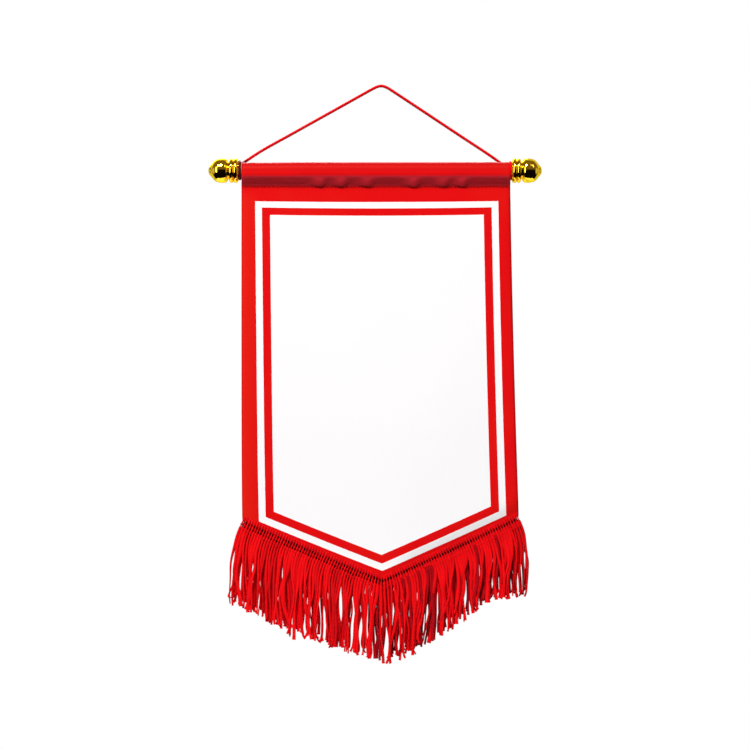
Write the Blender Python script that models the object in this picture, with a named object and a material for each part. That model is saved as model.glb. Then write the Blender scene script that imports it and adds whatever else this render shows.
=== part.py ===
"""Hanging pennant: a printed satin cloth on a wooden dowel, with plated finials, a hanging cord and a looped fringe.

Run it with: blender --background --python part.py
Units are metres and +Z is up. The printed face of the cloth looks along -Y.
The origin is the hook point: the underside of the cord at its peak, where a hook or nail carries the pennant.
"""

import math

import bmesh
import bpy
from mathutils import Vector

# Dowel
DOWEL_RADIUS = 0.007
DOWEL_CHAMFER = 0.0006
DOWEL_DROP = 0.077  # from the hook point down to the dowel's axis
ROD_OFFSET = -0.0055  # the rod's middle is left of the hook, because the cord's left leg is tied longer

# Cord
CORD_DIAMETER = 0.0028
CORD_STEP = 0.007  # between the sampled points of the tube
KNOT_BULGE = 0.0007  # how much thicker the knot is, outwards, where the cord leaves it
KNOT_BULGE_SPREAD = 0.35  # radians along the loop
KNOT_EXIT_LEFT = math.radians(49)  # where the cord leaves the knot: round the dowel, up from the back
KNOT_EXIT_RIGHT = math.radians(20)

# Cloth, with heights measured from the dowel's axis
CLOTH_WIDTH = 0.250
CLOTH_CORNER_DROP = 0.3227
CLOTH_TIP_DROP = 0.3773
CLOTH_THICKNESS = 0.0004
STIFFENER_THICKNESS = 0.0006
STIFFENER_SIDE_INSET = 0.004
STIFFENER_TOP_INSET = 0.003
LAYER_GAP = 0.0003

# Sleeve: the top of the cloth, folded over the dowel and sewn
SLEEVE_INSET = 0.001  # the fold is this much shorter than the cloth at each end
SLEEVE_WALL = 0.0006
SLEEVE_CLEARANCE = 0.0003
SLEEVE_SLIT = 0.0002  # width of the hollow where the fold closes at the seam
SEAM_DROP = 0.0148
SEAM_SETBACK = 0.0012  # the stitch line lies this far below the sleeve
SEAM_END_INSET = 0.001
STITCH_PITCH = 0.0029
STITCH_GAP = 0.0006
THREAD_THICKNESS = 0.0005
THREAD_CORE = 0.00025  # what is left of the thread between two stitches

# Finials: turned caps, with lengths measured outwards from the shoulder that faces the cloth
FINIAL_LENGTH = 0.0268
SHOULDER_RISE = 0.0026  # the shoulder, beads, neck and ball each stand this far above the dowel
BEAD_RISE = 0.0044
NECK_RISE = 0.0012
BALL_RISE = 0.0042
BEAD_CENTRES = (0.0021, 0.0057)
BEAD_RADIUS = 0.0018
BEAD_CUT = math.radians(9)  # how much of each bead's half circle is lost in the groove beside it
NECK_AT = 0.0081
NECK_WIDTH = 0.0004
BALL_AT = 0.0147
BALL_HALF_LENGTH = 0.0089
POINT_FROM = 0.0225
POINT_TIP_RADIUS = 0.0021
POINT_TIP_ARC = math.radians(65)
SOCKET_DEPTH = 0.009
SOCKET_CLEARANCE = 0.0003
DOWEL_END_CLEARANCE = 0.0004
CORE_DRAFT = 0.0018  # how much narrower the hollow core is than the dowel
CORE_DEPTH = 0.0195

# Fringe
FRINGE_TUCK = 0.008  # width of the header held between the two cloths
FRINGE_HEADER = 0.009  # width of the header that shows below the cloth
FRINGE_DROP = 0.070  # hanging length of the strands below the header
FRINGE_FLARE = 1.065  # how much wider the fringe is at its ends than at the header
FRINGE_GAP = 0.0008  # between neighbouring bundles
FRINGE_TOP_GAP = 0.0003
BUNDLES_PER_SIDE = 6
STRANDS_PER_BUNDLE = 9
STRAND_TOP_RADIUS = 0.0005
STRAND_END_RADIUS = 0.0015
STRAND_VALLEY = 0.55  # half thickness between two strands, as a share of a strand's radius
STRAND_END_NOTCH = 0.003
STRAND_RAGGED = 0.002
RAGGED_TURN = 2.3  # radians from one strand's length to the next
RAGGED_SHIFT = 0.7  # and from one bundle to the next

# Between parts that touch
FIT_GAP = 0.0004
SMOOTH_ANGLE = math.radians(35)
TURNED_SEGMENTS = 40
BEAD_STEPS = 8
BALL_STEPS = 14
TIP_STEPS = 4
SLEEVE_STEPS = 28
LOOP_SEGMENTS = 36
LOOP_SIDES = 10

# The cord's centreline, chosen by hand, in world metres: from the left knot over the hook to the right knot.
CORD_ROUTE = (
    (-0.1287, 0.0064, -0.0696),
    (-0.1100, 0.0044, -0.0577),
    (-0.0850, 0.0034, -0.0439),
    (-0.0600, 0.0024, -0.0301),
    (-0.0350, 0.0014, -0.0163),
    (-0.0180, 0.0007, -0.0069),
    (-0.0100, 0.0003, -0.0025),
    (-0.0060, 0.0001, -0.0004),
    (-0.0030, 0.0000, 0.0009),
    (0.0000, 0.0000, 0.0014),
    (0.0030, 0.0000, 0.0009),
    (0.0068, 0.0003, -0.0008),
    (0.0120, 0.0007, -0.0041),
    (0.0250, 0.0017, -0.0125),
    (0.0500, 0.0036, -0.0288),
    (0.0750, 0.0056, -0.0451),
    (0.1000, 0.0076, -0.0613),
    (0.1176, 0.0092, -0.0737),
)

CORD_RADIUS = CORD_DIAMETER / 2
FRONT_FACE = STIFFENER_THICKNESS / 2 + LAYER_GAP + CLOTH_THICKNESS
SLEEVE_LENGTH = CLOTH_WIDTH - 2 * SLEEVE_INSET
SEAM_LENGTH = SLEEVE_LENGTH - 2 * SEAM_END_INSET
SLEEVE_RADIUS = DOWEL_RADIUS + SLEEVE_CLEARANCE + SLEEVE_WALL
KNOT_RADIUS = DOWEL_RADIUS + SLEEVE_CLEARANCE + CORD_RADIUS
KNOT_AT = SLEEVE_LENGTH / 2 + FIT_GAP + CORD_RADIUS
SHOULDER_AT = KNOT_AT + CORD_RADIUS + FIT_GAP
DOWEL_LENGTH = 2 * (SHOULDER_AT + SOCKET_DEPTH - DOWEL_END_CLEARANCE)
EDGE_SLOPE = (CLOTH_TIP_DROP - CLOTH_CORNER_DROP) / (CLOTH_WIDTH / 2)
EDGE_ANGLE = math.atan(EDGE_SLOPE)


def clear_scene():
    for thing in list(bpy.data.objects):
        bpy.data.objects.remove(thing, do_unlink=True)


def material(name, colour, roughness, metallic=0.0):
    made = bpy.data.materials.new(name)
    made.use_nodes = True
    shader = made.node_tree.nodes["Principled BSDF"]
    shader.inputs["Base Color"].default_value = (*colour, 1.0)
    shader.inputs["Roughness"].default_value = roughness
    shader.inputs["Metallic"].default_value = metallic
    made.diffuse_color = (*colour, 1.0)
    return made


def empty(name, location, parent=None):
    made = bpy.data.objects.new(name, None)
    bpy.context.scene.collection.objects.link(made)
    made.parent = parent
    made.location = location
    return made


def add_object(name, shape, skin, parent, smooth=False):
    """A mesh object made from a bmesh, which is freed here."""
    bmesh.ops.recalc_face_normals(shape, faces=shape.faces)
    mesh = bpy.data.meshes.new(name)
    shape.to_mesh(mesh)
    shape.free()
    if smooth:
        mesh.shade_smooth()
        mesh.set_sharp_from_angle(angle=SMOOTH_ANGLE)
    mesh.materials.append(skin)
    made = bpy.data.objects.new(name, mesh)
    bpy.context.scene.collection.objects.link(made)
    made.parent = parent
    return made


def plate(outline, front, back):
    """A flat sheet with this outline in X and Z, from y = front to y = back."""
    shape = bmesh.new()
    corners = [shape.verts.new((x, front, z)) for x, z in outline]
    face = shape.faces.new(corners)
    grown = bmesh.ops.extrude_face_region(shape, geom=[face])
    moved = [v for v in grown["geom"] if isinstance(v, bmesh.types.BMVert)]
    bmesh.ops.translate(shape, verts=moved, vec=(0, back - front, 0))
    return shape


def turned(profile, segments):
    """A solid of revolution about the X axis. The profile's (x, radius) points start and end on the axis."""
    shape = bmesh.new()
    points = [shape.verts.new((x, 0, radius)) for x, radius in profile]
    edges = [shape.edges.new(pair) for pair in zip(points, points[1:])]
    bmesh.ops.spin(
        shape,
        geom=points + edges,
        cent=(0, 0, 0),
        axis=(1, 0, 0),
        angle=2 * math.pi,
        steps=segments,
        use_duplicate=False,
    )
    bmesh.ops.remove_doubles(shape, verts=shape.verts, dist=1e-6)
    return shape


def arc(centre, radii, start, end, steps):
    """Points along an ellipse's arc in the (x, radius) plane, both ends included."""
    angles = [start + (end - start) * i / steps for i in range(steps + 1)]
    return [(centre[0] + radii[0] * math.cos(a), centre[1] + radii[1] * math.sin(a)) for a in angles]


def make_dowel(skin, parent):
    half = DOWEL_LENGTH / 2
    profile = [
        (-half, 0),
        (-half, DOWEL_RADIUS - DOWEL_CHAMFER),
        (-half + DOWEL_CHAMFER, DOWEL_RADIUS),
        (half - DOWEL_CHAMFER, DOWEL_RADIUS),
        (half, DOWEL_RADIUS - DOWEL_CHAMFER),
        (half, 0),
    ]
    add_object("dowel", turned(profile, TURNED_SEGMENTS), skin, parent, smooth=True)


def finial_profile():
    """From the blind end of the core, out through the socket, round the shoulder and over the cap to its point."""
    socket = DOWEL_RADIUS + SOCKET_CLEARANCE
    core = DOWEL_RADIUS - CORE_DRAFT
    profile = [(CORE_DEPTH, 0), (CORE_DEPTH, core), (SOCKET_DEPTH, core)]
    profile += [(SOCKET_DEPTH, socket), (0, socket), (0, DOWEL_RADIUS + SHOULDER_RISE)]
    bead = (BEAD_RADIUS, BEAD_RADIUS)
    for at in BEAD_CENTRES:
        centre = (at, DOWEL_RADIUS + BEAD_RISE - BEAD_RADIUS)
        profile += arc(centre, bead, math.pi - BEAD_CUT, BEAD_CUT, BEAD_STEPS)
    profile.append((NECK_AT, DOWEL_RADIUS + NECK_RISE))
    ball = (BALL_HALF_LENGTH, DOWEL_RADIUS + BALL_RISE)
    ball_start = math.acos((NECK_AT + NECK_WIDTH - BALL_AT) / BALL_HALF_LENGTH)
    ball_end = math.acos((POINT_FROM - BALL_AT) / BALL_HALF_LENGTH)
    profile += arc((BALL_AT, 0), ball, ball_start, ball_end, BALL_STEPS)
    tip_centre = (FINIAL_LENGTH - POINT_TIP_RADIUS, 0)
    profile += arc(tip_centre, (POINT_TIP_RADIUS, POINT_TIP_RADIUS), POINT_TIP_ARC, 0, TIP_STEPS)
    return profile


def make_finial(name, side, skin, parent):
    """side is -1 for the left end of the dowel and 1 for the right end."""
    profile = [(side * (SHOULDER_AT + x), radius) for x, radius in finial_profile()]
    add_object(name, turned(profile, TURNED_SEGMENTS), skin, parent, smooth=True)


def smooth_route(points, step):
    """Points about a step apart on a Catmull-Rom curve through the route's own points."""
    knots = [Vector(p) for p in points]
    padded = [2 * knots[0] - knots[1], *knots, 2 * knots[-1] - knots[-2]]
    found = []
    for a, b, c, d in zip(padded, padded[1:], padded[2:], padded[3:]):
        pieces = max(1, round((c - b).length / step))
        for i in range(pieces):
            t = i / pieces
            found.append(
                0.5 * (2 * b + (c - a) * t + (2 * a - 5 * b + 4 * c - d) * t**2 + (3 * b - a - 3 * c + d) * t**3)
            )
    return [*found, knots[-1]]


def make_cord(skin):
    route = smooth_route(CORD_ROUTE, CORD_STEP)
    line = bpy.data.curves.new("hanging_cord", "CURVE")
    line.dimensions = "3D"
    line.bevel_depth = CORD_RADIUS
    line.bevel_resolution = 2
    line.use_fill_caps = True
    spline = line.splines.new("POLY")
    spline.points.add(len(route) - 1)
    for point, place in zip(spline.points, route):
        point.co = (*place, 1.0)
    line.materials.append(skin)
    made = bpy.data.objects.new("hanging_cord", line)
    bpy.context.scene.collection.objects.link(made)


def make_knot(name, side, exit_angle, skin, parent):
    """The cord's end, looped round the dowel between the cloth and the finial, thicker where the cord leaves it."""
    shape = bmesh.new()
    rings = []
    for i in range(LOOP_SEGMENTS):
        around = 2 * math.pi * i / LOOP_SEGMENTS
        away = math.remainder(around - exit_angle, 2 * math.pi)
        bulge = KNOT_BULGE * math.exp(-((away / KNOT_BULGE_SPREAD) ** 2))
        ring = []
        for k in range(LOOP_SIDES):
            turn = 2 * math.pi * k / LOOP_SIDES
            outward = KNOT_RADIUS + CORD_RADIUS * math.cos(turn) + bulge * (1 + math.cos(turn))
            across = side * KNOT_AT + CORD_RADIUS * math.sin(turn)
            ring.append(shape.verts.new((across, outward * math.cos(around), outward * math.sin(around))))
        rings.append(ring)
    for first, second in zip(rings, rings[1:] + rings[:1]):
        for k in range(LOOP_SIDES):
            following = (k + 1) % LOOP_SIDES
            shape.faces.new((first[k], first[following], second[following], second[k]))
    add_object(name, shape, skin, parent, smooth=True)


def teardrop(radius, seam_half, seam_drop):
    """A closed outline in (y, z): round over the dowel, with straight flanks down to the seam."""
    reach = math.hypot(seam_half, seam_drop)
    tangent = math.atan2(-seam_drop, seam_half) + math.acos(radius / reach)
    angles = [tangent + (math.pi - 2 * tangent) * i / SLEEVE_STEPS for i in range(SLEEVE_STEPS + 1)]
    return [
        (seam_half, -seam_drop),
        *[(radius * math.cos(a), radius * math.sin(a)) for a in angles],
        (-seam_half, -seam_drop),
    ]


def make_sleeve(skin, parent):
    outer = teardrop(SLEEVE_RADIUS, FRONT_FACE, SEAM_DROP)
    inner = teardrop(DOWEL_RADIUS + SLEEVE_CLEARANCE, SLEEVE_SLIT / 2, SEAM_DROP - 2 * SLEEVE_WALL)
    shape = bmesh.new()
    loops = [
        [shape.verts.new((end * SLEEVE_LENGTH / 2, y, z)) for y, z in outline]
        for end in (-1, 1)
        for outline in (outer, inner)
    ]
    left_outer, left_inner, right_outer, right_inner = loops
    count = len(outer)
    for first, second in (
        (left_outer, right_outer),
        (right_outer, right_inner),
        (right_inner, left_inner),
        (left_inner, left_outer),
    ):
        for i in range(count):
            following = (i + 1) % count
            shape.faces.new((first[i], first[following], second[following], second[i]))
    add_object("rod_sleeve", shape, skin, parent, smooth=True)


def pennant_outline(half_width, top, edge_shift):
    """A rectangle with a point below. edge_shift moves the two slanting edges up, square to themselves."""
    lift = edge_shift / math.cos(EDGE_ANGLE)
    tip = -CLOTH_TIP_DROP + lift
    corner = tip + half_width * EDGE_SLOPE
    return [(-half_width, top), (-half_width, corner), (0, tip), (half_width, corner), (half_width, top)]


def make_cloth(red_satin, printed_satin, lining, parent):
    top = -SEAM_DROP - LAYER_GAP
    outline = pennant_outline(CLOTH_WIDTH / 2, top, 0)
    inside = FRONT_FACE - CLOTH_THICKNESS
    add_object("front_cloth", plate(outline, -FRONT_FACE, -inside), printed_satin, parent)
    add_object("back_cloth", plate(outline, inside, FRONT_FACE), red_satin, parent)
    half = STIFFENER_THICKNESS / 2
    inset = pennant_outline(
        CLOTH_WIDTH / 2 - STIFFENER_SIDE_INSET, top - STIFFENER_TOP_INSET, FRINGE_TUCK + FIT_GAP
    )
    add_object("stiffener", plate(inset, -half, half), lining, parent)


def make_seam_thread(skin, parent):
    """One row of lockstitch on the front of the cloth: raised stitches joined by thin thread."""
    back = -FRONT_FACE - LAYER_GAP
    stitches = int(SEAM_LENGTH / STITCH_PITCH)
    start = -stitches * STITCH_PITCH / 2
    front = []
    for i in range(stitches):
        left = start + i * STITCH_PITCH
        right = left + STITCH_PITCH
        low, high = back - THREAD_CORE, back - THREAD_THICKNESS
        front += [(left, low), (left + STITCH_GAP, high), (right - STITCH_GAP, high)]
    front.append((start + stitches * STITCH_PITCH, back - THREAD_CORE))
    outline = [(start, back), *front, (start + stitches * STITCH_PITCH, back)]
    top = -SEAM_DROP - SEAM_SETBACK
    shape = bmesh.new()
    face = shape.faces.new([shape.verts.new((x, y, top)) for x, y in outline])
    grown = bmesh.ops.extrude_face_region(shape, geom=[face])
    moved = [v for v in grown["geom"] if isinstance(v, bmesh.types.BMVert)]
    bmesh.ops.translate(shape, verts=moved, vec=(0, 0, -THREAD_THICKNESS))
    add_object("sleeve_seam_thread", shape, skin, parent)


def header_edge(x):
    """Height of the header's lower edge, which the strands hang from."""
    return -CLOTH_TIP_DROP - FRINGE_HEADER / math.cos(EDGE_ANGLE) + abs(x) * EDGE_SLOPE


def make_fringe_header(skin, parent):
    """A band along both slanting edges, with its upper part tucked between the two cloths."""
    corner = Vector((CLOTH_WIDTH / 2, -CLOTH_CORNER_DROP))
    outward = Vector((math.sin(EDGE_ANGLE), -math.cos(EDGE_ANGLE)))
    inner = corner - outward * FRINGE_TUCK
    outer = corner + outward * FRINGE_HEADER
    outline = [
        tuple(inner),
        tuple(outer),
        (0, header_edge(0)),
        (-outer.x, outer.y),
        (-inner.x, inner.y),
        (0, -CLOTH_TIP_DROP + FRINGE_TUCK / math.cos(EDGE_ANGLE)),
    ]
    half = STIFFENER_THICKNESS / 2
    add_object("fringe_header", plate(outline, -half, half), skin, parent)


def make_bundle(number, left, right, skin, parent):
    """A bundle of strands between two places on the header's edge. Its hinge is an empty at its upper middle."""
    middle = (left + right) / 2
    hinge = Vector((middle, 0, header_edge(middle)))
    pivot = empty(f"fringe_hinge_{number:02d}", hinge, parent)
    columns = 2 * STRANDS_PER_BUNDLE + 1
    shape = bmesh.new()
    grid = []
    for j in range(columns):
        x = left + FRINGE_GAP / 2 + (right - left - FRINGE_GAP) * j / (columns - 1)
        thick = 1.0 if j % 2 else STRAND_VALLEY
        top = header_edge(x) - FRINGE_TOP_GAP
        ragged = STRAND_RAGGED * math.sin(RAGGED_TURN * j + RAGGED_SHIFT * number)
        end = top - FRINGE_DROP + (ragged if j % 2 else STRAND_END_NOTCH)
        grid.append(
            [
                shape.verts.new(Vector((x * spread, face * radius * thick, z)) - hinge)
                for radius, spread, z in ((STRAND_TOP_RADIUS, 1.0, top), (STRAND_END_RADIUS, FRINGE_FLARE, end))
                for face in (-1, 1)
            ]
        )
    for first, second in zip(grid, grid[1:]):
        for a, b in ((0, 1), (1, 3), (3, 2), (2, 0)):
            shape.faces.new((first[a], first[b], second[b], second[a]))
    for end in (grid[0], grid[-1]):
        shape.faces.new((end[0], end[1], end[3], end[2]))
    add_object(f"fringe_strands_{number:02d}", shape, skin, pivot)


def make_fringe(skin, parent):
    reach = CLOTH_WIDTH / 2 + FRINGE_HEADER * math.sin(EDGE_ANGLE)
    width = reach / BUNDLES_PER_SIDE
    for i in range(2 * BUNDLES_PER_SIDE):
        left = -reach + i * width
        make_bundle(i + 1, left, left + width, skin, parent)


def main():
    clear_scene()
    wood = material("birch_wood", (0.72, 0.52, 0.32), 0.6)
    gold = material("gold_plating", (0.83, 0.62, 0.10), 0.12, metallic=1.0)
    cord = material("red_cord", (0.70, 0.01, 0.02), 0.55)
    red_satin = material("red_satin", (0.80, 0.01, 0.01), 0.45)
    printed_satin = material("printed_satin", (0.80, 0.01, 0.01), 0.45)
    lining = material("white_interlining", (0.85, 0.85, 0.83), 0.9)
    yarn = material("red_yarn", (0.80, 0.01, 0.01), 0.5)

    axis = empty("dowel_axis", (ROD_OFFSET, 0, -DOWEL_DROP))
    make_dowel(wood, axis)
    make_finial("left_finial", -1, gold, axis)
    make_finial("right_finial", 1, gold, axis)
    make_cord(cord)
    make_knot("left_cord_knot", -1, KNOT_EXIT_LEFT, cord, axis)
    make_knot("right_cord_knot", 1, KNOT_EXIT_RIGHT, cord, axis)
    make_sleeve(red_satin, axis)
    make_seam_thread(cord, axis)
    make_cloth(red_satin, printed_satin, lining, axis)
    make_fringe_header(yarn, axis)
    make_fringe(yarn, axis)


main()
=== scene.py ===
"""Looks of a hanging pennant: satin cloth, printed border, twisted cord, gold finials and loose fringe.

Metres, +Z up, printed face along -Y. The origin is the hook point under the peak of the cord.
"""

import math
import random

import bmesh
import bpy
import numpy as np
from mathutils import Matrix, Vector, noise


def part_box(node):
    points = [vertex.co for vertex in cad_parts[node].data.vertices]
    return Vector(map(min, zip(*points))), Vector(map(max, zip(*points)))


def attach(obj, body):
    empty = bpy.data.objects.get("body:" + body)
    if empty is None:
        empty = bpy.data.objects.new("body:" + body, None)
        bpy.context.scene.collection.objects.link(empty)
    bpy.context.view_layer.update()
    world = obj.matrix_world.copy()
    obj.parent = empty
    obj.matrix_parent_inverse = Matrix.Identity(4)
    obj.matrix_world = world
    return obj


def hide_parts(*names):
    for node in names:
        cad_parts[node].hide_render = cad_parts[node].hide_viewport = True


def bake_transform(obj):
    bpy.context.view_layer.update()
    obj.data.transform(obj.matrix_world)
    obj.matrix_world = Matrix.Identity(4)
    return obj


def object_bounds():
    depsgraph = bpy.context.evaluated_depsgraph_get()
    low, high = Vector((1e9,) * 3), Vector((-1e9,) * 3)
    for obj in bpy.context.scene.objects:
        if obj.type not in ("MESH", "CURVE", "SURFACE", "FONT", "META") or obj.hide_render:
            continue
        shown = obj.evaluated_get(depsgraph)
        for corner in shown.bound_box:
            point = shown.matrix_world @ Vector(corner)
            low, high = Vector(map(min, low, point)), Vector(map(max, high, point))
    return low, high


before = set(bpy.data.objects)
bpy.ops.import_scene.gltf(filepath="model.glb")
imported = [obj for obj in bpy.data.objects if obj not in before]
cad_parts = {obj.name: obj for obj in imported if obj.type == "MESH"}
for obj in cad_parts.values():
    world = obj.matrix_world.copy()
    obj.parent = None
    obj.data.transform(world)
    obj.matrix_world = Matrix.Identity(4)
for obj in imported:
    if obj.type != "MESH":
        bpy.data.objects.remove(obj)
cad_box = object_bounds()

# -------- places taken from the frame

dowel_low, dowel_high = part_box("dowel")
sleeve_low, sleeve_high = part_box("rod_sleeve")
cloth_low, cloth_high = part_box("front_cloth")
AXIS_Z = (dowel_low.z + dowel_high.z) / 2
DOWEL_RADIUS = (dowel_high.z - dowel_low.z) / 2
MIDDLE_X = (cloth_low.x + cloth_high.x) / 2
CLOTH_WIDTH = cloth_high.x - cloth_low.x
SEAM_Z = sleeve_low.z
TIP_DEPTH = SEAM_Z - cloth_low.z
SLEEVE_RADIUS = sleeve_high.z - AXIS_Z

# -------- driving sizes of the looks

# Cloth
POINT_RISE = 0.0546  # the cloth's corners lie this far above its point
SHEET_THICKNESS = 0.0004
BACK_TOP = 0.0016  # the back cloth starts this far below the seam
LINING_INSET = 0.0095  # the interlining ends this far inside the cloth
LINING_TOP = 0.004
HALF_BODY = 0.0008  # from the middle of the pennant to each sheet
EDGE_ROUNDING = 0.004  # the sheets close up over this distance from the edge
EDGE_HALF = 0.00025
SEAM_HALF = 0.0010  # from the middle to each sheet at the seam
HANG_LEFT = 0.0013  # the cloth's left edge hangs this far inside the flat one
HANG_LEFT_FOOT = 0.0020
HANG_RIGHT = 0.0001
HANG_LEAN = 0.0050  # the right edge leans out this far at its foot
HANG_CURVE = 0.0030  # and this much more as it curves
FOOT_POWER = 8
BOW = 0.0013  # sag of the cloth's middle
RIGHT_LIFT = 0.0095  # share by which the right side hangs shorter
ROLL_DEPTH = 0.0023  # the right half of the pointed edge rolls back this far
ROLL_WIDTH = 0.0075
RIPPLE = 0.0004
CLOTH_COLUMNS = 100
CLOTH_ROWS = 130
SLEEVE_TAIL = 0.006  # the folded-over edge behind the seam
BELLY_DROP = 0.0046  # the sleeve's front hangs straight this far below the axis, then turns under
CREASES = (-0.051, -0.031, -0.0065, 0.0363, 0.0635, 0.0815)  # where the sleeve is drawn in above the seam
BILLOW_DEPTH = 0.0026  # how far the underside stands out beside a crease
BILLOW_BEFORE = 0.0085
BILLOW_AFTER = 0.0030
CREASE_SLANT = 0.004
SCALLOP = 0.0005  # how far a crease pulls the seam up or down
SCALLOP_WIDTH = 0.008
UNDER_TOP = -0.0117  # where the sleeve's underside and its painted shade start, along the cloth above the seam
SEAM_SHADE_START = -0.0045  # painted shade: below this the sleeve's underside darkens towards the seam
TOP_SHADE_FROM, TOP_SHADE_TO = -0.0130, -0.0225  # painted shade: between these the cloth darkens towards the sleeve's top, holding down the light it catches from above
PUCKER = 0.00012  # height of the small ripples along the seam
PUCKER_PITCH = 0.0061

# Print, with distances from the cloth's edges
PRINT_LEFT = 0.0126
PRINT_RIGHT = 0.0114
PRINT_LEFT_LEAN = 0.008
PRINT_TOP = 0.0134
PRINT_POINT = 0.0073
PRINT_SLOPE_LEFT = 0.414  # of the printed point, which is not quite the cloth's own
PRINT_SLOPE_RIGHT = 0.425
WHITE_LINE = 0.0062
RED_LINE = 0.0075
TOP_SHARE = 0.90  # width of the top's lines, as a share of the others'
INK_EDGE = 0.00012

# Stitches
STITCH_PITCH = 0.0036
STITCH_LENGTH = 0.0023
THREAD_RADIUS = 0.00052

# Knots and finials
KNOT_FLATNESS = 0.62
KNOT_CLEARANCE = 0.0003  # from the dowel to the turn of cord before it is pressed flat
KNOT_SEAT = 0.0002  # from the dowel to the pressed turn
HITCH_ARC = math.radians(62)
HITCH_LIFT = 0.0013
SOCKET_CLEARANCE = 0.0003
SOCKET_SHARE = 0.30  # of the finial's length
BEAD_REACH = 0.0012  # the first bead lies this far over the knot

# Fringe
HEADER = 0.009  # shown width of the header
LOOP_PITCH = 0.00255
STRAND_WIDTH = 0.0034
STRAND_DEPTH = 0.0014
KNIT_PITCH = 0.0012083  # of the chainette's stitches along a strand
FRINGE_LENGTH = 0.0722
LONG_AT, LONG_WIDTH, LONG_BY = -0.067, 0.030, 0.0045  # where and how much the strands hang longer
SHORT_AT, SHORT_WIDTH, SHORT_BY = 0.088, 0.032, 0.0150  # and shorter
TIP_ROUNDING = 0.012
BEND_LENGTH = 0.006  # strands turn from square to the edge to hanging over this length
BEND_LEFT = 0.010  # added to it at the left end
BEND_RIGHT = 0.009
FLARE_LEFT = 0.10  # share of the edge's angle that the outermost strands keep
FLARE_RIGHT = 0.04
# Layers of strands: depth in layer steps, spread and shift in loop pitches, darkest and lightest painted
# shade, which is darker for the deeper layers as they lie in shade
STRAND_LAYERS = ((2.0, 0.90, 0.4, 0.05, 0.60), (1.0, 0.9, 0.5, 0.25, 0.97), (-1.0, 1.0, 0.0, 0.88, 1.0))
LAYER_STEP = 0.0012
ROOT_IN_HEADER = 0.0022  # strands start this far up inside the header
STRAND_RINGS = 34
STRAND_SIDES = 8

# Cord
CORD_DIAMETER = 0.0028
CORD_LENGTH = 0.286
PLIES = 3
PLY_TURN = 0.0105  # length of one full twist

# The cord's route over the hook, from the left knot to the right knot
CORD_ROUTE = (
    (-0.1287, 0.0064, -0.0696),
    (-0.1100, 0.0044, -0.0577),
    (-0.0850, 0.0034, -0.0439),
    (-0.0600, 0.0024, -0.0301),
    (-0.0350, 0.0014, -0.0163),
    (-0.0180, 0.0007, -0.0069),
    (-0.0100, 0.0003, -0.0025),
    (-0.0060, 0.0001, -0.0004),
    (-0.0030, 0.0000, 0.0009),
    (0.0000, 0.0000, 0.0014),
    (0.0030, 0.0000, 0.0009),
    (0.0068, 0.0003, -0.0008),
    (0.0120, 0.0007, -0.0041),
    (0.0250, 0.0017, -0.0125),
    (0.0500, 0.0036, -0.0288),
    (0.0750, 0.0056, -0.0451),
    (0.1000, 0.0076, -0.0613),
    (0.1176, 0.0092, -0.0737),
)

# The finial's neck, then its ball and blunt point: shares of its length and of its greatest radius
FINIAL_NECK = ((0.292, 0.72), (0.302, 0.70), (0.314, 0.70))
FINIAL_BALL = (
    (0.318, 0.715),
    (0.340, 0.845),
    (0.385, 0.940),
    (0.450, 0.985),
    (0.540, 0.990),
    (0.620, 0.965),
    (0.690, 0.935),
    (0.750, 0.870),
    (0.800, 0.775),
    (0.845, 0.660),
    (0.885, 0.535),
    (0.920, 0.440),
    (0.950, 0.365),
    (0.975, 0.275),
    (0.993, 0.140),
    (1.000, 0.000),
)

# Camera
LENS = 100
SENSOR = 36
VIEW_WIDTH = 0.6945
VIEW_CENTRE = Vector((-0.0056, 0, -0.2662))

EDGE_SLOPE = POINT_RISE / (CLOTH_WIDTH / 2)
EDGE_ANGLE = math.atan(EDGE_SLOPE)

# Floor
FLOOR_RADIUS = 0.6
FLOOR_BACK = 0.42  # its middle lies this far behind the pennant
FLOOR_DROP = 0.22


# -------- small helpers


def smooth(low, high, value):
    t = min(1.0, max(0.0, (value - low) / (high - low)))
    return t * t * (3 - 2 * t)


def add_object(name, data, place=(0, 0, 0)):
    made = bpy.data.objects.new(name, data)
    made.location = place
    bpy.context.scene.collection.objects.link(made)
    return made


def mesh_object(name, points, faces, skin, sharp=50):
    """A smooth piece in one material. Edges past the sharp angle, in degrees, stay hard."""
    mesh = bpy.data.meshes.new(name)
    mesh.from_pydata([tuple(p) for p in points], [], faces)
    mesh.validate()
    shape = bmesh.new()
    shape.from_mesh(mesh)
    bmesh.ops.recalc_face_normals(shape, faces=shape.faces)
    shape.to_mesh(mesh)
    shape.free()
    mesh.shade_smooth()
    mesh.set_sharp_from_angle(angle=math.radians(sharp))
    mesh.materials.append(skin)
    return add_object(name, mesh)


def give_vectors(made, name, values):
    layer = made.data.attributes.new(name, "FLOAT_VECTOR", "POINT")
    layer.data.foreach_set("vector", np.array(values, np.float32).ravel())


def smooth_route(points, step):
    """Points about a step apart on a Catmull-Rom curve through the route's own points."""
    knots = [Vector(p) for p in points]
    padded = [2 * knots[0] - knots[1], *knots, 2 * knots[-1] - knots[-2]]
    found = []
    for a, b, c, d in zip(padded, padded[1:], padded[2:], padded[3:]):
        pieces = max(1, round((c - b).length / step))
        square = 2 * a - 5 * b + 4 * c - d
        cube = 3 * b - a - 3 * c + d
        for i in range(pieces):
            t = i / pieces
            found.append(0.5 * (2 * b + (c - a) * t + square * t**2 + cube * t**3))
    return [*found, knots[-1]]


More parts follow.
